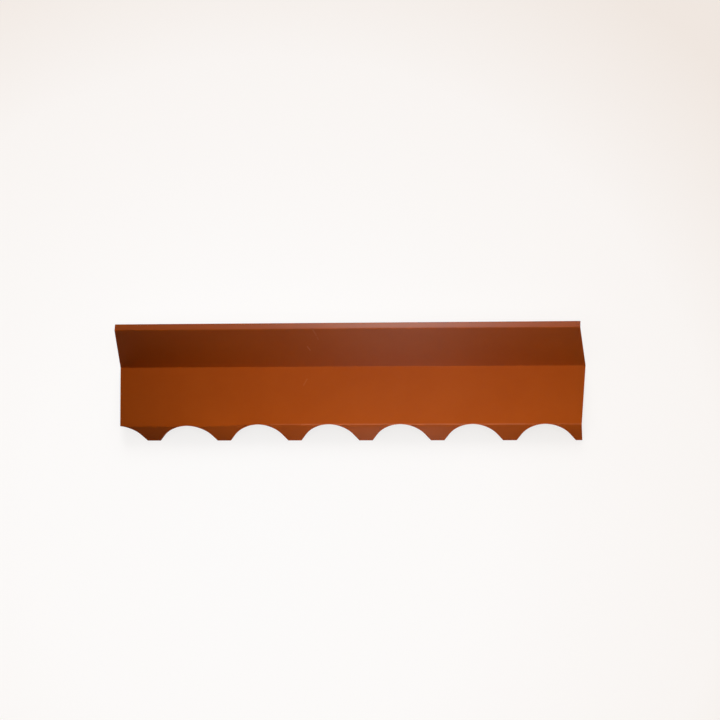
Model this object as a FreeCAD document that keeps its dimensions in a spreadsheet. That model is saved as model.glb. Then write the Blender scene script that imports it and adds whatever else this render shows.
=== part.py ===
import FreeCAD, Part
import math
import os
import Sketcher

# Roof ridge cap: one folded sheet of painted steel with a scalloped rim.
# X runs along the cap, Y across it towards the wall, and Z points up.
# The cap lies unheld on the floor, on its valley fold and on its tooth tips.
# From the wall side to the eaves side the strips are lip, upstand, wing and rim.

NODE = "ridge_cap"

doc = FreeCAD.newDocument("RoofRidgeCap")

# Sizes, in millimetres and degrees
sizes = doc.addObject("Spreadsheet::Sheet", "Sizes")
SIZES = [
    ("cap_length", "1202", "whole length, along the valley fold"),
    ("sheet_thickness", "0.6", "coated sheet"),
    ("bend_radius", "1.5", "inside radius of every fold"),
    ("lip_width", "21", "free edge to the upper fold, on the face side"),
    ("upstand_width", "141", "upper fold to the valley fold"),
    ("wing_width", "155", "valley fold to the rim fold"),
    ("rim_width", "51", "rim fold to the tooth tips"),
    ("lip_bend", "90", "how far the lip turns back from the upstand"),
    ("valley_angle", "116", "angle between upstand and wing"),
    ("rim_bend", "54", "how far the rim turns down from the wing"),
    ("end_relief", "8.7", "how far both ends draw in from the valley fold to the outer folds"),
    ("wave_pitch", "183.3", "from one notch to the next, the pitch of the sheet waves"),
    ("notch_radius", "74", "round crown of a notch"),
    ("notch_overrun", "1.5", "how far a crown reaches past the rim fold"),
    ("flank_angle", "34", "lean of a tooth flank from square to the edge"),
    ("cutter_margin", "5", "how far a cutter runs past the edges of the sheet"),
]
DERIVED = [
    ("notch_depth", "=rim_width + notch_overrun", "crown to tooth tips"),
    (
        "half_mouth",
        "=notch_radius * cos(flank_angle * 1deg)"
        " + (notch_depth - notch_radius * (1 - sin(flank_angle * 1deg))) * tan(flank_angle * 1deg)",
        "half the opening of a notch at the tooth tips",
    ),
    ("notch_count", "=floor((cap_length + half_mouth) / wave_pitch) + 1", "notches that meet the cap"),
]
for row, (alias, value, meaning) in enumerate(SIZES + DERIVED, start=1):
    sizes.set("A%d" % row, alias)
    sizes.set("B%d" % row, value)
    sizes.set("C%d" % row, meaning)
    sizes.setAlias("B%d" % row, alias)
doc.recompute()


def size(alias):
    """Value of a size, for the first drawing of a sketch before its constraints hold it."""
    return float(sizes.get(alias))


body = doc.addObject("PartDesign::Body", NODE)
body.Label = NODE
body.Placement = FreeCAD.Placement(FreeCAD.Vector(0, 0, 0), FreeCAD.Rotation())


def origin_plane(role):
    """The body's own origin plane of that role."""
    return [feature for feature in body.Origin.OriginFeatures if feature.Role == role][0]


def new_sketch(name, role):
    """A sketch that lies flat on one of the body's origin planes."""
    sketch = body.newObject("Sketcher::SketchObject", name)
    sketch.AttachmentSupport = [(origin_plane(role), "")]
    sketch.MapMode = "FlatFace"
    return sketch


# Sketcher numbers for the points of a curve and for the sketch's own axes
START, END, CENTRE = range(1, 4)
H_AXIS, V_AXIS = range(-1, -3, -1)

# The horizontal axis starts at the sketch's origin
ORIGIN = H_AXIS


def name_size(sketch, constraint, name, expression):
    """Adds a dimension and binds it to the sheet."""
    index = sketch.addConstraint(constraint)
    sketch.renameConstraint(index, name)
    sketch.setExpression("Constraints." + name, expression)


# Cross-section: the face side as a line of sharp folds, then the sheet along it
section = new_sketch("Section", "YZ_Plane")

thickness = size("sheet_thickness")
radius = size("bend_radius")
rim_bend = math.radians(size("rim_bend"))
rise = math.atan2(
    size("rim_width") * math.sin(rim_bend),
    size("wing_width") + size("rim_width") * math.cos(rim_bend),
)
upstand_slope = math.pi - rise - math.radians(size("valley_angle"))
lip_slope = upstand_slope - math.radians(size("lip_bend"))


def polar(angle, length):
    return FreeCAD.Vector(length * math.cos(angle), length * math.sin(angle), 0)


# Sharp corners of the face side, from the lip's free edge to the tooth tips
valley = FreeCAD.Vector(0, thickness, 0)
upper_fold = valley + polar(upstand_slope, size("upstand_width"))
lip_edge = upper_fold + polar(lip_slope, size("lip_width"))
rim_fold = valley + polar(math.pi - rise, size("wing_width"))
rim_edge = rim_fold + polar(math.pi - rise + rim_bend, size("rim_width"))
corners = [lip_edge, upper_fold, valley, rim_fold, rim_edge]

# Guide lines run from each corner back to the one before it, so the rim's own angle is its slope
guides = []
for before, after in zip(corners, corners[1:]):
    guides.append(section.addGeometry(Part.LineSegment(after, before), True))
for guide, following in zip(guides, guides[1:]):
    section.addConstraint(Sketcher.Constraint("Coincident", guide, START, following, END))
lip_guide, upstand_guide, wing_guide, rim_guide = guides

name_size(section, Sketcher.Constraint("Distance", lip_guide, size("lip_width")),
          "lip_width", "Sizes.lip_width")
name_size(section, Sketcher.Constraint("Distance", upstand_guide, size("upstand_width")),
          "upstand_width", "Sizes.upstand_width")
name_size(section, Sketcher.Constraint("Distance", wing_guide, size("wing_width")),
          "wing_width", "Sizes.wing_width")
name_size(section, Sketcher.Constraint("Distance", rim_guide, size("rim_width")),
          "rim_width", "Sizes.rim_width")
name_size(section,
          Sketcher.Constraint("Angle", upstand_guide, END, lip_guide, START,
                              math.pi - math.radians(size("lip_bend"))),
          "lip_angle", "180 deg - Sizes.lip_bend * 1 deg")
name_size(section,
          Sketcher.Constraint("Angle", upstand_guide, START, wing_guide, END,
                              math.radians(size("valley_angle"))),
          "valley_angle", "Sizes.valley_angle * 1 deg")
name_size(section,
          Sketcher.Constraint("Angle", rim_guide, END, wing_guide, START, math.pi - rim_bend),
          "rim_angle", "180 deg - Sizes.rim_bend * 1 deg")


def fold_arc(corner, before, after, face_radius, back_radius):
    """Centre of a fold and its four tangent points, on the face side and on the back."""
    towards_before = (before - corner).normalize()
    towards_after = (after - corner).normalize()
    half = towards_before.getAngle(towards_after) / 2
    reach = face_radius / math.tan(half)
    centre = corner + (towards_before + towards_after).normalize() * (face_radius / math.sin(half))
    face = [corner + towards_before * reach, corner + towards_after * reach]
    back = [centre + (point - centre) * (back_radius / face_radius) for point in face]
    return centre, face, back


def arc_about(centre, start_angle, end_angle, arc_radius):
    circle = Part.Circle(centre, FreeCAD.Vector(0, 0, 1), arc_radius)
    return Part.ArcOfCircle(circle, start_angle, end_angle)


def short_arc(centre, first, last):
    """The short arc round a centre between two points, with its ends named in that order."""
    from_first, from_last = first - centre, last - centre
    angles = [math.atan2(spoke.y, spoke.x) for spoke in (from_first, from_last)]
    if from_first.cross(from_last).z > 0:
        return arc_about(centre, angles[0], angles[1], from_first.Length), (START, END)
    return arc_about(centre, angles[1], angles[0], from_first.Length), (END, START)


outer = radius + thickness
folds = [
    fold_arc(upper_fold, lip_edge, valley, outer, radius),
    fold_arc(valley, upper_fold, rim_fold, radius, outer),
    fold_arc(rim_fold, valley, rim_edge, outer, radius),
]


def offset_back(edge, neighbour, inward):
    """Point of the back side square to a free edge of the face side."""
    along = (neighbour - edge).normalize()
    across = FreeCAD.Vector(-along.y, along.x, 0) * thickness
    return edge + (across if across.dot(inward) > 0 else -across)


down = FreeCAD.Vector(0, -1, 0)
lip_back = offset_back(lip_edge, upper_fold, folds[0][0] - upper_fold)
rim_back = offset_back(rim_edge, rim_fold, down)


def draw_side(first, last, side):
    """Lines and fold arcs of one side of the sheet, joined tangent to each other."""
    lines, arcs = [], []
    point = first
    for centre, face, back in folds:
        near, far = (face, back)[side]
        lines.append(section.addGeometry(Part.LineSegment(point, near), False))
        arc, ends = short_arc(centre, near, far)
        arcs.append((section.addGeometry(arc, False), ends))
        point = far
    lines.append(section.addGeometry(Part.LineSegment(point, last), False))
    for line, (arc, ends), following in zip(lines, arcs, lines[1:]):
        section.addConstraint(Sketcher.Constraint("Tangent", line, END, arc, ends[0]))
        section.addConstraint(Sketcher.Constraint("Tangent", arc, ends[1], following, START))
    return lines, [arc for arc, ends in arcs]


face_lines, face_arcs = draw_side(lip_edge, rim_edge, 0)
back_lines, back_arcs = draw_side(lip_back, rim_back, 1)
lip_cap = section.addGeometry(Part.LineSegment(lip_edge, lip_back), False)
rim_cap = section.addGeometry(Part.LineSegment(rim_edge, rim_back), False)

# The face side follows the guide lines
section.addConstraint(Sketcher.Constraint("Coincident", face_lines[0], START, lip_guide, END))
section.addConstraint(Sketcher.Constraint("Coincident", face_lines[3], END, rim_guide, START))
section.addConstraint(Sketcher.Constraint("PointOnObject", face_lines[0], END, lip_guide))
section.addConstraint(Sketcher.Constraint("PointOnObject", face_lines[1], START, upstand_guide))
section.addConstraint(Sketcher.Constraint("PointOnObject", face_lines[1], END, upstand_guide))
section.addConstraint(Sketcher.Constraint("PointOnObject", face_lines[2], START, wing_guide))
section.addConstraint(Sketcher.Constraint("PointOnObject", face_lines[2], END, wing_guide))
section.addConstraint(Sketcher.Constraint("PointOnObject", face_lines[3], START, rim_guide))

# Both sides of a fold share its centre, one sheet thickness apart
face_is_inside = [False, True, False]
for number, (face_arc, back_arc, inside) in enumerate(zip(face_arcs, back_arcs, face_is_inside)):
    section.addConstraint(Sketcher.Constraint("Coincident", face_arc, CENTRE, back_arc, CENTRE))
    inner_arc, outer_arc = (face_arc, back_arc) if inside else (back_arc, face_arc)
    name_size(section, Sketcher.Constraint("Radius", inner_arc, radius),
              "fold_%d_inside" % number, "Sizes.bend_radius")
    name_size(section, Sketcher.Constraint("Radius", outer_arc, outer),
              "fold_%d_outside" % number, "Sizes.bend_radius + Sizes.sheet_thickness")

# Free edges are cut square
for cap, point, face_line, back_line, tip in (
    (lip_cap, START, face_lines[0], back_lines[0], START),
    (rim_cap, START, face_lines[3], back_lines[3], END),
):
    section.addConstraint(Sketcher.Constraint("Coincident", cap, START, face_line, tip))
    section.addConstraint(Sketcher.Constraint("Coincident", cap, END, back_line, tip))
    section.addConstraint(Sketcher.Constraint("Perpendicular", cap, face_line))
    section.addConstraint(Sketcher.Constraint("Parallel", back_line, face_line))

# Rest on the floor: the valley fold touches it, and so do the tooth tips
name_size(section, Sketcher.Constraint("DistanceY", ORIGIN, START, face_arcs[1], CENTRE, outer),
          "valley_on_floor", "Sizes.bend_radius + Sizes.sheet_thickness")
section.addConstraint(Sketcher.Constraint("PointOnObject", rim_cap, END, H_AXIS))

# The origin lies midway between the two free edges
middle = section.addGeometry(Part.Point((lip_edge + rim_edge) * 0.5), True)
section.addConstraint(
    Sketcher.Constraint("Symmetric", lip_guide, END, rim_guide, START, middle, START))
section.addConstraint(Sketcher.Constraint("PointOnObject", middle, START, V_AXIS))
doc.recompute()

# Where the folds and edges lie, read off for the cuts
for constraint, name in (
    (Sketcher.Constraint("DistanceX", ORIGIN, START, lip_guide, END, 1), "lip_edge_y"),
    (Sketcher.Constraint("DistanceX", ORIGIN, START, upstand_guide, END, 1), "upper_fold_y"),
    (Sketcher.Constraint("DistanceX", ORIGIN, START, upstand_guide, START, 1), "valley_y"),
    (Sketcher.Constraint("DistanceX", ORIGIN, START, rim_guide, END, 1), "rim_fold_y"),
    (Sketcher.Constraint("DistanceX", ORIGIN, START, rim_guide, START, 1), "rim_edge_y"),
    (Sketcher.Constraint("DistanceY", ORIGIN, START, rim_guide, START, 1), "rim_edge_z"),
    (Sketcher.Constraint("Angle", rim_guide, 1), "rim_slope"),
):
    index = section.addConstraint(constraint)
    section.setDriving(index, False)
    section.renameConstraint(index, name)
doc.recompute()

# The folded sheet, drawn out to both sides of the origin
sheet = body.newObject("PartDesign::Pad", "FoldedSheet")
sheet.Profile = section
sheet.Midplane = True
sheet.setExpression("Length", "Sizes.cap_length")
body.Tip = sheet
doc.recompute()

# Both ends draw in on either side of the valley fold, so the next cap laps into this one
end_sketch = new_sketch("EndRelief", "XY_Plane")
half_length = size("cap_length") / 2
relief = size("end_relief")
margin = size("cutter_margin")


def read_off(name):
    """Place of a fold or edge in the section."""
    return section.getDatum(name).Value


reliefs = [
    FreeCAD.Vector(-half_length, read_off("valley_y"), 0),
    FreeCAD.Vector(-half_length + relief, read_off("rim_fold_y"), 0),
    FreeCAD.Vector(-half_length + relief, read_off("rim_edge_y") - margin, 0),
    FreeCAD.Vector(-half_length - margin, read_off("rim_edge_y") - margin, 0),
    FreeCAD.Vector(-half_length - margin, read_off("lip_edge_y") + margin, 0),
    FreeCAD.Vector(-half_length + relief, read_off("lip_edge_y") + margin, 0),
    FreeCAD.Vector(-half_length + relief, read_off("upper_fold_y"), 0),
]
outline = [
    end_sketch.addGeometry(Part.LineSegment(point, following), False)
    for point, following in zip(reliefs, reliefs[1:] + reliefs[:1])
]
for line, following in zip(outline, outline[1:] + outline[:1]):
    end_sketch.addConstraint(Sketcher.Constraint("Coincident", line, END, following, START))
wing_end, rim_end, front_run, outer_run, back_run, lip_end, upstand_end = outline
for line in (rim_end, outer_run, lip_end):
    end_sketch.addConstraint(Sketcher.Constraint("Vertical", line))
for line in (front_run, back_run):
    end_sketch.addConstraint(Sketcher.Constraint("Horizontal", line))
end_sketch.addConstraint(Sketcher.Constraint("Vertical", rim_end, START, lip_end, END))
for axis, line, name, value, expression in (
    ("DistanceX", wing_end, "valley_end", -half_length, "-Sizes.cap_length / 2"),
    ("DistanceY", wing_end, "valley_y", read_off("valley_y"), "Section.Constraints.valley_y"),
    ("DistanceX", rim_end, "outer_end", relief - half_length,
     "Sizes.end_relief - Sizes.cap_length / 2"),
    ("DistanceY", rim_end, "rim_fold_y", read_off("rim_fold_y"), "Section.Constraints.rim_fold_y"),
    ("DistanceY", upstand_end, "upper_fold_y", read_off("upper_fold_y"),
     "Section.Constraints.upper_fold_y"),
    ("DistanceX", outer_run, "clear_of_end", -half_length - margin,
     "-Sizes.cap_length / 2 - Sizes.cutter_margin"),
    ("DistanceY", outer_run, "clear_of_rim", read_off("rim_edge_y") - margin,
     "Section.Constraints.rim_edge_y - Sizes.cutter_margin * 1 mm"),
    ("DistanceY", lip_end, "clear_of_lip", read_off("lip_edge_y") + margin,
     "Section.Constraints.lip_edge_y + Sizes.cutter_margin * 1 mm"),
):
    name_size(end_sketch, Sketcher.Constraint(axis, ORIGIN, START, line, START, value),
              name, expression)
doc.recompute()

left_relief = body.newObject("PartDesign::Pocket", "LeftEndCut")
left_relief.Profile = end_sketch
left_relief.Type = "ThroughAll"
left_relief.Midplane = True
body.Tip = left_relief
doc.recompute()

both_reliefs = body.newObject("PartDesign::Mirrored", "BothEndCuts")
both_reliefs.Originals = [left_relief]
both_reliefs.MirrorPlane = (origin_plane("YZ_Plane"), [""])
body.Tip = both_reliefs
doc.recompute()

# One notch, in the plane of the rim, with its crown at the left end of the valley fold
notch = new_sketch("Notch", "XY_Plane")
notch.AttachmentOffset = FreeCAD.Placement(
    FreeCAD.Vector(0, 0, 0), FreeCAD.Rotation(FreeCAD.Vector(1, 0, 0), math.degrees(rim_bend)))
notch.setExpression("AttachmentOffset.Base.x", "-Sizes.cap_length / 2")
notch.setExpression("AttachmentOffset.Base.y", "Section.Constraints.rim_edge_y")
notch.setExpression("AttachmentOffset.Base.z", "Section.Constraints.rim_edge_z")
notch.setExpression("AttachmentOffset.Rotation.Angle", "Section.Constraints.rim_slope")

flank = math.radians(size("flank_angle"))
crown_radius = size("notch_radius")
crown_height = size("notch_depth")
crown_centre = FreeCAD.Vector(0, crown_height - crown_radius, 0)
shoulder = crown_centre + polar(flank, crown_radius)
foot = FreeCAD.Vector(shoulder.x + (shoulder.y + margin) * math.tan(flank), -margin, 0)


def mirrored(point):
    return FreeCAD.Vector(-point.x, point.y, 0)


crown = notch.addGeometry(arc_about(crown_centre, flank, math.pi - flank, crown_radius), False)
right_flank = notch.addGeometry(Part.LineSegment(foot, shoulder), False)
left_flank = notch.addGeometry(Part.LineSegment(mirrored(shoulder), mirrored(foot)), False)
base = notch.addGeometry(Part.LineSegment(mirrored(foot), foot), False)
notch.addConstraint(Sketcher.Constraint("Tangent", right_flank, END, crown, START))
notch.addConstraint(Sketcher.Constraint("Tangent", crown, END, left_flank, START))
notch.addConstraint(Sketcher.Constraint("Coincident", left_flank, END, base, START))
notch.addConstraint(Sketcher.Constraint("Coincident", base, END, right_flank, START))
notch.addConstraint(Sketcher.Constraint("Symmetric", base, START, base, END, V_AXIS))
notch.addConstraint(Sketcher.Constraint("PointOnObject", crown, CENTRE, V_AXIS))
name_size(notch, Sketcher.Constraint("Radius", crown, crown_radius),
          "notch_radius", "Sizes.notch_radius")
name_size(notch, Sketcher.Constraint("Angle", right_flank, START, base, END, math.pi / 2 - flank),
          "flank_angle", "90 deg - Sizes.flank_angle * 1 deg")
name_size(notch, Sketcher.Constraint("DistanceY", base, START, ORIGIN, START, margin),
          "cutter_margin", "Sizes.cutter_margin")
name_size(notch,
          Sketcher.Constraint("DistanceY", base, START, crown, CENTRE, crown_centre.y + margin),
          "crown_centre", "Sizes.notch_depth - Sizes.notch_radius + Sizes.cutter_margin")
doc.recompute()

notch_cut = body.newObject("PartDesign::Pocket", "NotchCut")
notch_cut.Profile = notch
notch_cut.Type = "ThroughAll"
notch_cut.Midplane = True
body.Tip = notch_cut
doc.recompute()

# The same notch at every wave of the roof sheet
notches = body.newObject("PartDesign::LinearPattern", "Notches")
notches.Originals = [notch_cut]
notches.Direction = (notch, ["H_Axis"])
notches.setExpression("Length", "Sizes.wave_pitch * (Sizes.notch_count - 1)")
notches.setExpression("Occurrences", "Sizes.notch_count")
body.Tip = notches
doc.recompute()

for item in doc.Objects:
    if "Invalid" in item.State or "Error" in item.State:
        raise RuntimeError("%s did not compute: %s" % (item.Name, item.State))
for sketch in (section, end_sketch, notch):
    if sketch.solve() != 0:
        raise RuntimeError("%s is not solved" % sketch.Name)

solid = body.Shape
if solid.isNull() or not solid.isValid() or len(solid.Solids) != 1:
    raise RuntimeError("the cap is not one valid solid")
stages = [feature.Shape.Volume for feature in (sheet, left_relief, both_reliefs, notch_cut, notches)]
if any(after >= before for before, after in zip(stages, stages[1:])):
    raise RuntimeError("a cut removes nothing")

box = solid.BoundBox
print("size %.2f x %.2f x %.2f mm" % (box.XLength, box.YLength, box.ZLength))
print("low corner %.3f %.3f %.3f" % (box.XMin, box.YMin, box.ZMin))
print("volume %.1f mm3, notches %d" % (solid.Volume, notches.Occurrences))

os.makedirs("parts", exist_ok=True)
solid.exportStep("parts/%s.step" % NODE)
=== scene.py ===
import math

import bmesh
import bpy
from mathutils import Euler, Matrix, Vector, noise


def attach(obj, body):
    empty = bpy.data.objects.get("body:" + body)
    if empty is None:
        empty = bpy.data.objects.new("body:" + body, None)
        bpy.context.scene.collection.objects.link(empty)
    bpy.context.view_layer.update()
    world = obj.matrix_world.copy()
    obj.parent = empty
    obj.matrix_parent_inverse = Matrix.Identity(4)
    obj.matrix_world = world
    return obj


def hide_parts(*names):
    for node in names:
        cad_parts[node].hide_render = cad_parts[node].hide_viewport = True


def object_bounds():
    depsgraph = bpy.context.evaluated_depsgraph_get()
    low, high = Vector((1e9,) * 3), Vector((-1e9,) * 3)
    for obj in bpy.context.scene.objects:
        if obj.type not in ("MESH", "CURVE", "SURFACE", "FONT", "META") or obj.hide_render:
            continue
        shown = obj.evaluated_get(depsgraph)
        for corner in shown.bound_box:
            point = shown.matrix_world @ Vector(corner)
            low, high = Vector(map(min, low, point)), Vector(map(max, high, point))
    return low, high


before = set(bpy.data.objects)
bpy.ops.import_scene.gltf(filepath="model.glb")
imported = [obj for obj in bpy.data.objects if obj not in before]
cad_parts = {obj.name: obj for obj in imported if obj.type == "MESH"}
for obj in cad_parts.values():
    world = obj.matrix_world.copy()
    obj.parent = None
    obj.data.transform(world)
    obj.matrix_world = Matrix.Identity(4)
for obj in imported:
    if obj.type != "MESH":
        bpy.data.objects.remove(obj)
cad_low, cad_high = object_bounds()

# Roof ridge cap on a pale floor, seen from above.
# X runs along the cap, Y across it from the scalloped rim to the lip, Z points up.
# Lengths are in metres, and angles that are written as numbers are in degrees.

NODE = "ridge_cap"
BODY = "root"

# Numbers of the folds and of the two broad strips, counted from the lip
LIP_FOLD, VALLEY_FOLD, RIM_FOLD = range(3)
UPSTAND, WING = 1, 2

# Material slots of the sheet: painted face, grey back and cut edges
FACE, BACK, EDGE = range(3)

# Folded section, as the photograph shows it, and how many steps measure its outline
THICKNESS = 0.0006
BEND_RADIUS = 0.0015
LIP_WIDTH = 0.021
UPSTAND_WIDTH = 0.141
WING_WIDTH = 0.155
RIM_WIDTH = 0.051
LIP_BEND = 90
VALLEY_ANGLE = 116
RIM_BEND = 54
OUTLINE_STEPS = 2000

# Notches of the rim. The photograph shows them drifting a little to the right of the waves:
# the drift of the first one, and what each further one adds. Each has a round crown down to
# its shoulders and straight flanks from there to its mouth at the tooth tips.
WAVE_PITCH = 0.1833
FIRST_DRIFT = -0.0005
DRIFT_PER_NOTCH = 0.0005
CROWN_RADIUS = 0.074
CROWN_OVERRUN = 0.0015
FLANK_ANGLE = 34
FLANK = math.radians(FLANK_ANGLE)
NOTCH_DEPTH = RIM_WIDTH + CROWN_OVERRUN
SHOULDER = CROWN_RADIUS * math.cos(FLANK)
SHOULDER_REACH = NOTCH_DEPTH - CROWN_RADIUS * (1 - math.sin(FLANK))
HALF_MOUTH = SHOULDER + SHOULDER_REACH * math.tan(FLANK)

# How far the ends draw in from the valley fold towards the lip and towards the rim,
# and how much less the left end does at the lip's free edge
END_RELIEF = 0.0087
LIP_FLARE = 0.0015

# Soft rounding of the sheet beside each fold: its height, and how far off a third of it is left
FOLD_SOFTNESS = [(0.0005, 0.004), (0.0002, 0.004), (0.0006, 0.0025)]

# The rim fold strays outwards near the left end, from where the stray starts to where it is full
STRAY = 0.0035
STRAY_STARTS = -0.20
STRAY_FULL = -0.40

# Waviness of the thin sheet, cut out of a cloud of noise at one level
RIPPLE_HEIGHT = 0.00025
RIPPLES_PER_METRE = (5, 9)
RIPPLE_LEVEL = 0.5

# Faint scuffs in the paint: both ends as (place along the cap, developed length), and strength
SCUFFS = [
    ((-0.0804, 0.0242), (-0.0742, 0.0434), 0.45),
    ((-0.0726, 0.0501), (-0.0711, 0.0591), 0.40),
    ((-0.1018, 0.0849), (-0.0962, 0.0985), 0.80),
    ((-0.1104, 0.1943), (-0.1186, 0.2102), 0.40),
]

# Painted highlight along the rim fold, as paler paint just above it: where it starts and ends, and
# strength
FOLD_HIGHLIGHT_LINES = [
    (-0.20, 0.60, 0.42),
    (-0.12, 0.45, 0.82),
]
# How far above the rim fold's corner the painted highlight lies
FOLD_HIGHLIGHT_ABOVE = 0.0015

# Half the width of a scuff or of the painted fold highlight, and their tone
HALF_SCUFF_AND_HIGHLIGHT = 0.0025
SCUFF_AND_HIGHLIGHT_TONE = (0.46, 0.12, 0.045)

# Fineness of the sheet's mesh, which is closer beside the folds
ROW_STEP = 0.0065
ROWS_BESIDE_FOLD = (0.0009, 0.0021, 0.0038, 0.0065)
COLUMN_STEP = 0.0035
ROWS_IN_FOLD = 7
ROWS_IN_RIM = 13
RIM_GRADING = 1.5
COLUMNS_AT_LEFT = 20
COLUMNS_AT_RIGHT = 8
WELD_DISTANCE = THICKNESS / 50

# Weather side: brown satin coil coating, slightly uneven, with orange peel
PAINT_TONES = [(0.3, (0.337, 0.055, 0.0012)), (0.7, (0.365, 0.063, 0.0026))]
PAINT_CLOUD = {"Scale": 6.0, "Detail": 9.0, "Roughness": 0.7}
PAINT_PEEL = {"Scale": 900.0, "Detail": 2.0, "Roughness": 0.5}
PEEL_BUMP = {"Strength": 0.12, "Distance": 0.0002}
PAINT_FINISH = {"Specular IOR Level": 0.0, "Coat Weight": 0.15, "Coat Roughness": 0.40}

# Hidden side: pale grey backing coat
BACK_TONES = [(0.3, (0.54, 0.53, 0.505)), (0.7, (0.61, 0.60, 0.575))]
BACK_CLOUD = {"Scale": 14.0, "Detail": 4.0, "Roughness": 0.6}
BACK_FINISH = {"Roughness": 0.5, "Specular IOR Level": 0.3}

# Sheared steel at the cut edges
EDGE_TONES = [(0.3, (0.30, 0.24, 0.20)), (0.7, (0.50, 0.44, 0.40))]
EDGE_STREAKS = {"Scale": 700.0, "Detail": 3.0}
EDGE_FINISH = {"Metallic": 0.8, "Roughness": 0.45}

# Camera: a long lens almost straight above, fitted to the folds in the photograph.
# It is turned about X, Y and Z, and looks at a point a little behind the valley fold.
FOCAL_MM = 120
SENSOR_MM = 36
CAMERA_TILT = (3.944, 7.498, 0.204)
TARGET_X = 0.0255
TARGET_BEHIND_VALLEY = 0.0164
CAMERA_DISTANCE = 6.146

# Lamps on the cap: place along it, lean to the lip's side and distance.
# The level, which comes last, is about the brightness that it gives a white surface facing it.
# A long tube in front of the cap also has its length and width, the round ones their radius.
FRONT_TUBE = (0.16, -38, 0.40, 1.15, 0.06, 0.960)
BACK_LAMP = (0.20, 36, 1.60, 0.08, 0.630)

# Lamps that are seen only as a sheen on the paint: two along the lip, one on the upstand and rim,
# one on the wing and one in the folds
SHEEN_LAMPS = {
    "long_lip_sheen": (-0.07, 77, 2.5, 0.20, 0.967),
    "short_lip_sheen": (-0.05, 77, 1.5, 0.12, 0.285),
    "face_sheen": (0.006, -88, 1.2, 0.12, 0.320),
    "wing_sheen": (-0.06, 29, 2.1, 0.15, 0.105),
    "fold_sheen": (0.10, -25, 1.0, 0.08, 1.0),
}

# Light that the surroundings and the floor throw on the cap, as a share of their own tone
AMBIENT = 0.02
FLOOR_BOUNCE = 0.3

# Lamps that light only the floor, from the lip's side, and throw the cap's soft shadow on it:
# lean, angle that the lamp fills, and share of their light
SHADOW_LAMPS = {
    "near_shadow": (30, 118, 0.66),
    "long_shadow": (60, 24, 0.34),
}

# Share of the floor's tone that comes from these lamps and is lost where none reaches it
SHADOW_DEPTH = 0.21

# The floor is brightest beside the cap and turns a warm grey with the distance from there
BRIGHTEST = (-0.25, -0.35)
FLOOR_TONES = [
    (0.0, (0.974, 0.963, 0.956)),
    (0.6, (0.974, 0.956, 0.944)),
    (1.2, (0.948, 0.914, 0.890)),
    (1.65, (0.871, 0.799, 0.745)),
]

# Half the floor's side, and how far it lies below the cap so that the two never share a plane
HALF_FLOOR = 12.0
FLOOR_GAP = THICKNESS / 4


def turn_2d(angle):
    return Vector((math.cos(angle), math.sin(angle)))


def face_normal(heading):
    """Direction out of the painted side, for a sheet that runs along the heading."""
    return Vector((math.sin(heading), -math.cos(heading)))


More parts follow.
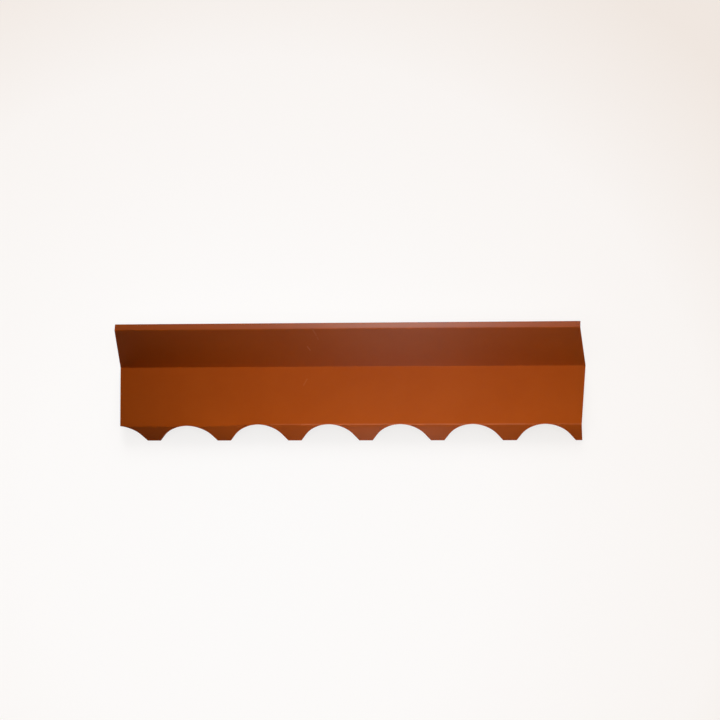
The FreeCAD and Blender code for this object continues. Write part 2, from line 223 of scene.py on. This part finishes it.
class Section:
    """Mid-line of the folded sheet from the lip's free edge to the tooth tips."""

    def __init__(self):
        bend = math.radians(RIM_BEND)
        rise = math.atan2(RIM_WIDTH * math.sin(bend), WING_WIDTH + RIM_WIDTH * math.cos(bend))
        upstand = math.pi - rise - math.radians(VALLEY_ANGLE)
        lip = upstand - math.radians(LIP_BEND)
        # Headings of the strips on the way from the lip to the rim
        self.headings = [lip + math.pi, upstand + math.pi, math.pi - rise, math.pi - rise + bend]
        widths = [LIP_WIDTH, UPSTAND_WIDTH, WING_WIDTH, RIM_WIDTH]
        corners = [Vector((0, 0))]
        for heading, width in zip(self.headings, widths):
            corners.append(corners[-1] + turn_2d(heading) * width)

        # The mid-line runs half a sheet behind the painted side
        half = THICKNESS / 2
        normals = [face_normal(heading) for heading in self.headings]
        middle = [corners[0] - normals[0] * half]
        for corner, first, second in zip(corners[1:], normals, normals[1:]):
            middle.append(corner - (first + second) * (half / (1 + first.dot(second))))
        middle.append(corners[-1] - normals[-1] * half)

        self.turns = [
            (after - before + math.pi) % (2 * math.pi) - math.pi
            for before, after in zip(self.headings, self.headings[1:])
        ]
        self.radius = BEND_RADIUS + half
        cuts = [0] + [self.radius * math.tan(abs(turn) / 2) for turn in self.turns] + [0]
        self.runs = []
        along = 0
        for strip, heading in enumerate(self.headings):
            start = middle[strip] + turn_2d(heading) * cuts[strip]
            length = (middle[strip + 1] - middle[strip]).length - cuts[strip] - cuts[strip + 1]
            self.runs.append((along, length, start, heading))
            along += length
            if strip < len(self.turns):
                along += self.radius * abs(self.turns[strip])
        self.length = along
        self.valley = corners[VALLEY_FOLD + 1]
        self.settle()

    def settle(self):
        """Puts the section on the floor and centres it as the frame does."""
        lows, sides = [], []
        for step in range(OUTLINE_STEPS + 1):
            for side in (-0.5, 0.5):
                point = self.point(self.length * step / OUTLINE_STEPS, side * THICKNESS)
                lows.append(point.y)
                sides.append(point.x)
        centre = (cad_low.y + cad_high.y) / 2
        shift = Vector((centre - (min(sides) + max(sides)) / 2, cad_low.z - min(lows)))
        self.runs = [
            (begin, length, start + shift, heading)
            for begin, length, start, heading in self.runs
        ]
        self.valley = self.valley + shift

    def frame_at(self, along):
        """Mid-line point and heading at a developed length."""
        for strip, (begin, length, start, heading) in enumerate(self.runs):
            if along <= begin + length or strip == len(self.turns):
                return start + turn_2d(heading) * (along - begin), heading
            arc = self.radius * abs(self.turns[strip])
            if along < begin + length + arc:
                sign = math.copysign(1, self.turns[strip])
                spoke = Vector((-math.sin(heading), math.cos(heading))) * (sign * self.radius)
                centre = start + turn_2d(heading) * length + spoke
                turned = sign * (along - begin - length) / self.radius
                return centre - Matrix.Rotation(turned, 2) @ spoke, heading + turned

    def point(self, along, outward):
        """Place (y, z) of a developed length, moved out of the painted side."""
        place, heading = self.frame_at(along)
        return place + face_normal(heading) * outward

    def fold_span(self, fold):
        """First and last developed length of a fold's arc."""
        begin = self.runs[fold][0] + self.runs[fold][1]
        return begin, self.runs[fold + 1][0]

    def fold_corner(self, fold):
        """Developed length that stands for a fold's sharp corner."""
        first, last = self.fold_span(fold)
        return (first + last) / 2


section = Section()
RIM_START = section.fold_span(RIM_FOLD)[1]
RIM_CORNER = section.fold_corner(RIM_FOLD)
NOTCH_PITCH = WAVE_PITCH + DRIFT_PER_NOTCH
FIRST_NOTCH = cad_low.x + FIRST_DRIFT


def notch_reach(x):
    """How far above the tooth tips the rim is cut away at x; 0 on a tooth."""
    offset = abs((x - FIRST_NOTCH + NOTCH_PITCH / 2) % NOTCH_PITCH - NOTCH_PITCH / 2)
    if offset < SHOULDER:
        return NOTCH_DEPTH - CROWN_RADIUS + math.sqrt(CROWN_RADIUS ** 2 - offset ** 2)
    return max(0.0, SHOULDER_REACH - (offset - SHOULDER) / math.tan(FLANK))


def divide(first, last, count):
    """Evenly spaced values from first up to but without last."""
    return [first + (last - first) * i / count for i in range(count)]


def spread(first, last, step):
    """The same, about a step apart."""
    return divide(first, last, max(1, round(abs(last - first) / step)))


def row_lengths():
    """Developed lengths of the rows down to the start of the rim."""
    rows = []
    for strip in range(len(section.turns)):
        begin, length = section.runs[strip][:2]
        margin = ROWS_BESIDE_FOLD[-1]
        rows += [begin] + [begin + distance for distance in ROWS_BESIDE_FOLD[:-1]]
        rows += spread(begin + margin, begin + length - margin, ROW_STEP)
        rows += [begin + length - distance for distance in reversed(ROWS_BESIDE_FOLD)]
        first, last = section.fold_span(strip)
        rows += spread(first, last, (last - first) / ROWS_IN_FOLD)
    return rows


def tooth_corners():
    """Places along the cap where a notch meets the tooth tips."""
    corners = []
    centre = FIRST_NOTCH
    while centre - HALF_MOUTH < cad_high.x:
        corners += [centre - HALF_MOUTH, centre + HALF_MOUTH]
        centre += NOTCH_PITCH
    return [x for x in corners if cad_low.x < x < cad_high.x]


def end_relief(along):
    """How far the sheet's end is drawn in at a developed length."""
    upper, valley, lower = map(section.fold_corner, (LIP_FOLD, VALLEY_FOLD, RIM_FOLD))
    outer = upper if along < valley else lower
    return END_RELIEF * min(1.0, (along - valley) / (outer - valley))


CORNERS = tooth_corners()


def columns_at(along):
    """Places of all columns at a developed length."""
    relief = end_relief(along)
    flare = LIP_FLARE * max(0.0, 1 - along / section.fold_corner(LIP_FOLD))
    left, right = cad_low.x + relief - flare, cad_high.x - relief
    places = divide(left, CORNERS[0], COLUMNS_AT_LEFT)
    for first, last in zip(CORNERS, CORNERS[1:]):
        places += spread(first, last, COLUMN_STEP)
    return places + divide(CORNERS[-1], right, COLUMNS_AT_RIGHT) + [right]


def sheet_rows():
    """Grid of (x, developed length): rows from the lip to the tooth tips."""
    lengths = row_lengths()
    grid = []
    for index in range(len(lengths) + ROWS_IN_RIM + 1):
        share = (max(0, index - len(lengths)) / ROWS_IN_RIM) ** RIM_GRADING
        base = lengths[index] if index < len(lengths) else RIM_START
        nominal = base + share * (section.length - RIM_START)
        row = []
        for x in columns_at(nominal):
            edge = section.length - notch_reach(x)
            if index < len(lengths):
                row.append((x, min(base, edge)))
            else:
                row.append((x, min(RIM_START, edge) + share * max(0.0, edge - RIM_START)))
        grid.append(row)
    return grid


def ripple(x, along):
    """Slight waves of a thin sheet, none at its folds and edges."""
    for begin, length, *_ in (section.runs[UPSTAND], section.runs[WING]):
        if begin < along < begin + length:
            share = math.sin(math.pi * (along - begin) / length)
            per_x, per_along = RIPPLES_PER_METRE
            place = Vector((x * per_x, along * per_along, RIPPLE_LEVEL))
            return RIPPLE_HEIGHT * share * noise.noise(place)
    return 0.0


def softness(along):
    """How far the sheet stands out of its sharp folds: out in the valley, in at the other two."""
    total = 0.0
    for fold, (height, reach) in enumerate(FOLD_SOFTNESS):
        first, last = section.fold_span(fold)
        distance = max(first - along, along - last, 0.0)
        outward = math.copysign(height, section.turns[fold] * section.turns[VALLEY_FOLD])
        total += outward * math.exp(-distance / reach)
    return total


def stray(x, along):
    """Shift (y, z) in the plane of the wing, full at the rim fold and none at the tooth tips."""
    begin, _, _, heading = section.runs[WING]
    share = min(1.0, max(0.0, (STRAY_STARTS - x) / (STRAY_STARTS - STRAY_FULL)))
    share *= share * (3 - 2 * share)
    if along < RIM_CORNER:
        reach = max(0.0, (along - begin) / (RIM_CORNER - begin))
    else:
        reach = (section.length - along) / (section.length - RIM_CORNER)
    return turn_2d(heading) * (STRAY * share * reach)


def build_sheet():
    """The whole cap as one closed mesh: painted face, grey back and cut edges."""
    grid = sheet_rows()
    bm = bmesh.new()
    layers = []
    for side in (0.5, -0.5):
        layer = []
        for row in grid:
            line = []
            for x, along in row:
                outward = side * THICKNESS + ripple(x, along) + softness(along)
                place = section.point(along, outward) + stray(x, along)
                line.append(bm.verts.new((x, place.x, place.y)))
            layer.append(line)
        layers.append(layer)
    face, back = layers

    def quad(corners, material, smooth):
        made = bm.faces.new(corners)
        made.material_index = material
        made.smooth = smooth

    for i in range(len(grid) - 1):
        for j in range(len(grid[0]) - 1):
            quad((face[i][j], face[i + 1][j], face[i + 1][j + 1], face[i][j + 1]), FACE, True)
            quad((back[i][j + 1], back[i + 1][j + 1], back[i + 1][j], back[i][j]), BACK, True)
    last_row, last_column = len(grid) - 1, len(grid[0]) - 1
    border = [(last_row, j) for j in range(last_column)]
    border += [(i, last_column) for i in range(last_row, 0, -1)]
    border += [(0, j) for j in range(last_column, 0, -1)]
    border += [(i, 0) for i in range(last_row)]
    for (a, b), (c, d) in zip(border, border[1:] + border[:1]):
        quad((face[a][b], back[a][b], back[c][d], face[c][d]), EDGE, False)
    bmesh.ops.remove_doubles(bm, verts=bm.verts, dist=WELD_DISTANCE)
    bmesh.ops.dissolve_degenerate(bm, edges=bm.edges, dist=WELD_DISTANCE / 2)
    for edge in bm.edges:
        kinds = {linked.material_index for linked in edge.link_faces}
        edge.smooth = len(kinds) == 1
    bmesh.ops.recalc_face_normals(bm, faces=bm.faces)
    mesh = bpy.data.meshes.new("ridge_cap_sheet")
    bm.to_mesh(mesh)
    bm.free()
    piece = bpy.data.objects.new("ridge_cap_sheet", mesh)
    bpy.context.collection.objects.link(piece)
    return piece


def fill(tree, sockets, values):
    """Joins or sets each socket, whichever its value asks for."""
    for socket, value in zip(sockets, values):
        if isinstance(value, bpy.types.NodeSocket):
            tree.links.new(value, socket)
        else:
            socket.default_value = value


class Nodes:
    """Short way to make and join shader nodes."""

    def __init__(self, name):
        self.material = bpy.data.materials.new(name)
        self.material.use_nodes = True
        self.tree = self.material.node_tree
        self.shader = self.tree.nodes["Principled BSDF"]

    def place(self):
        return self.tree.nodes.new("ShaderNodeTexCoord").outputs["Object"]

    def node(self, kind, **inputs):
        made = self.tree.nodes.new(kind)
        fill(self.tree, [made.inputs[key] for key in inputs], inputs.values())
        return made

    def noise(self, place, settings):
        return self.node("ShaderNodeTexNoise", Vector=place, **settings).outputs["Fac"]

    def join(self, output, target):
        self.tree.links.new(output, target)

    def finish(self, settings):
        for key, value in settings.items():
            self.shader.inputs[key].default_value = value

    def ramp(self, factor, stops):
        made = self.tree.nodes.new("ShaderNodeValToRGB")
        self.join(factor, made.inputs["Fac"])
        elements = made.color_ramp.elements
        while len(elements) < len(stops):
            elements.new(0.5)
        for element, (position, colour) in zip(elements, stops):
            element.position = position
            element.color = (*colour, 1.0)
        return made.outputs["Color"]


def math_node(tree, kind, first, second):
    made = tree.nodes.new("ShaderNodeMath")
    made.operation = kind
    fill(tree, made.inputs, (first, second))
    return made.outputs["Value"]


def vector_node(tree, kind, first, second, output):
    made = tree.nodes.new("ShaderNodeVectorMath")
    made.operation = kind
    fill(tree, made.inputs, (first, second))
    return made.outputs[output]


def painted_place(x, along):
    """Point on the painted side at a place along the cap and a developed length."""
    return Vector((x, *section.point(along, THICKNESS / 2 + softness(along))))


def scuff_and_highlight_weight(tree, place):
    """Strength of the scuffs and of the painted highlight along the rim fold at a place on the
    sheet, 0 beside them.
    """
    # The rim fold's highlight is painted in as a paler line just above the fold
    fold = RIM_CORNER - FOLD_HIGHLIGHT_ABOVE
    fold_highlight = [((first, fold), (last, fold), strength) for first, last, strength in FOLD_HIGHLIGHT_LINES]
    total = 0.0
    for first, last, strength in SCUFFS + fold_highlight:
        start = painted_place(*first)
        line = painted_place(*last) - start
        offset = vector_node(tree, "SUBTRACT", place, start, "Vector")
        share = vector_node(tree, "DOT_PRODUCT", offset, line / line.length_squared, "Value")
        share = math_node(tree, "MINIMUM", math_node(tree, "MAXIMUM", share, 0.0), 1.0)
        nearest = vector_node(tree, "MULTIPLY", line, share, "Vector")
        gap = vector_node(tree, "DISTANCE", offset, nearest, "Value")
        inside = math_node(tree, "SUBTRACT", 1.0, math_node(tree, "DIVIDE", gap, HALF_SCUFF_AND_HIGHLIGHT))
        total = math_node(tree, "MAXIMUM", total, math_node(tree, "MULTIPLY", inside, strength))
    return total


def mix_colours(nodes, factor, first, second):
    mixed = nodes.tree.nodes.new("ShaderNodeMix")
    mixed.data_type = "RGBA"
    nodes.join(factor, mixed.inputs["Factor"])
    colours = [socket for socket in mixed.inputs if socket.type == "RGBA"]
    fill(nodes.tree, colours, (first, (*second, 1.0)))
    return next(socket for socket in mixed.outputs if socket.type == "RGBA")


def paint_material():
    nodes = Nodes("brown_paint")
    place = nodes.place()
    base = nodes.ramp(nodes.noise(place, PAINT_CLOUD), PAINT_TONES)
    # Scuffs, and a painted highlight along the rim fold, mixed into the paint's colour
    colour = mix_colours(nodes, scuff_and_highlight_weight(nodes.tree, place), base, SCUFF_AND_HIGHLIGHT_TONE)
    nodes.join(colour, nodes.shader.inputs["Base Color"])
    bump = nodes.node("ShaderNodeBump", Height=nodes.noise(place, PAINT_PEEL), **PEEL_BUMP)
    nodes.join(bump.outputs["Normal"], nodes.shader.inputs["Normal"])
    nodes.finish(PAINT_FINISH)
    return nodes.material


def clouded_material(name, cloud, tones, finish):
    nodes = Nodes(name)
    base = nodes.ramp(nodes.noise(nodes.place(), cloud), tones)
    nodes.join(base, nodes.shader.inputs["Base Color"])
    nodes.finish(finish)
    return nodes.material


cap = build_sheet()
cap.data.materials.append(paint_material())
cap.data.materials.append(clouded_material("backing_coat", BACK_CLOUD, BACK_TONES, BACK_FINISH))
cap.data.materials.append(clouded_material("cut_edge", EDGE_STREAKS, EDGE_TONES, EDGE_FINISH))
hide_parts(NODE)
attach(cap, BODY)


def seen_directly(tree):
    """1 for what the camera sees, straight or in a reflection, and 0 for soft light on the cap."""
    path = tree.nodes.new("ShaderNodeLightPath")
    seen = math_node(tree, "MAXIMUM", path.outputs["Is Camera Ray"], path.outputs["Is Glossy Ray"])
    return math_node(tree, "MAXIMUM", seen, path.outputs["Is Transmission Ray"])


def floor_material():
    """Pale floor: most of its tone is its own, and the lamps' share keeps the cap's shadow."""
    nodes = Nodes("pale_floor")
    tree = nodes.tree
    far = vector_node(tree, "DISTANCE", nodes.place(), (*BRIGHTEST, cad_low.z), "Value")
    reach = FLOOR_TONES[-1][0]
    share = math_node(tree, "DIVIDE", far, reach)
    tone = nodes.ramp(share, [(distance / reach, colour) for distance, colour in FLOOR_TONES])
    strength = math_node(tree, "MAXIMUM", seen_directly(tree), FLOOR_BOUNCE)
    glow = nodes.node("ShaderNodeEmission", Color=tone, Strength=strength)
    matt = nodes.node("ShaderNodeBsdfDiffuse", Color=tone)
    both = nodes.node("ShaderNodeMixShader", Fac=SHADOW_DEPTH)
    nodes.join(glow.outputs[0], both.inputs[1])
    nodes.join(matt.outputs[0], both.inputs[2])
    nodes.join(both.outputs[0], tree.nodes["Material Output"].inputs["Surface"])
    tree.nodes.remove(nodes.shader)
    return nodes.material


def build_floor():
    mesh = bpy.data.meshes.new("floor")
    level = cad_low.z - FLOOR_GAP
    signs = [(-1, -1), (1, -1), (1, 1), (-1, 1)]
    corners = [(x * HALF_FLOOR, y * HALF_FLOOR, level) for x, y in signs]
    mesh.from_pydata(corners, [], [(0, 1, 2, 3)])
    made = bpy.data.objects.new("floor", mesh)
    bpy.context.collection.objects.link(made)
    mesh.materials.append(floor_material())
    return made


def add_lamp(data, place, target, lights_only):
    """Lamp that points at the target and lights one object."""
    lamp = bpy.data.objects.new(data.name, data)
    lamp.location = place
    lamp.rotation_euler = (target - place).to_track_quat("-Z", "Y").to_euler()
    bpy.context.collection.objects.link(lamp)
    receivers = bpy.data.collections.new(data.name + "_lights")
    receivers.objects.link(lights_only)
    lamp.light_linking.receiver_collection = receivers
    return lamp


def towards_back(angle):
    """Direction at an angle from straight up, leaning to the lip's side."""
    return Vector((0, math.sin(math.radians(angle)), math.cos(math.radians(angle))))


def aim_at_cap(data, along, lean, distance):
    """Lamp that lights the cap alone, aimed at a place along it."""
    target = Vector((along, 0, 0))
    return add_lamp(data, target + towards_back(lean) * distance, target, cap)


def tube_lamp(name, along, lean, distance, length, width, level):
    data = bpy.data.lights.new(name, "AREA")
    data.shape = "RECTANGLE"
    data.size = length
    data.size_y = width
    data.energy = level * (math.pi * distance) ** 2
    return aim_at_cap(data, along, lean, distance)


def round_lamp(name, along, lean, distance, radius, level):
    data = bpy.data.lights.new(name, "POINT")
    data.shadow_soft_size = radius
    data.energy = level * (2 * math.pi * distance) ** 2
    return aim_at_cap(data, along, lean, distance)


def build_lights():
    tube_lamp("front", *FRONT_TUBE).visible_glossy = False
    round_lamp("back", *BACK_LAMP).visible_glossy = False
    for name, settings in SHEEN_LAMPS.items():
        sheen = round_lamp(name, *settings)
        sheen.visible_diffuse = False
        sheen.data.use_shadow = False

    for name, (lean, angle, share) in SHADOW_LAMPS.items():
        sun = bpy.data.lights.new(name, "SUN")
        sun.angle = math.radians(angle)
        sun.energy = (1.0 - AMBIENT) * share * math.pi / math.cos(math.radians(lean))
        add_lamp(sun, towards_back(lean) * CAMERA_DISTANCE, Vector(), floor)

    world = bpy.data.worlds.new("studio")
    bpy.context.scene.world = world
    world.use_nodes = True
    tree = world.node_tree
    background = tree.nodes["Background"]
    background.inputs["Color"].default_value = (*FLOOR_TONES[-1][1], 1.0)
    extra = math_node(tree, "MULTIPLY", seen_directly(tree), 1.0 - AMBIENT)
    tree.links.new(math_node(tree, "ADD", extra, AMBIENT), background.inputs["Strength"])


def build_camera():
    data = bpy.data.cameras.new("camera")
    data.lens = FOCAL_MM
    data.sensor_width = SENSOR_MM
    camera = bpy.data.objects.new("camera", data)
    turned = Euler([math.radians(angle) for angle in CAMERA_TILT], "XYZ")
    camera.rotation_euler = turned
    target = Vector((TARGET_X, section.valley.x + TARGET_BEHIND_VALLEY, section.valley.y))
    camera.location = target + turned.to_matrix() @ Vector((0, 0, CAMERA_DISTANCE))
    bpy.context.collection.objects.link(camera)
    bpy.context.scene.camera = camera


floor = build_floor()
build_lights()
build_camera()
bpy.context.scene.view_settings.view_transform = "Standard"
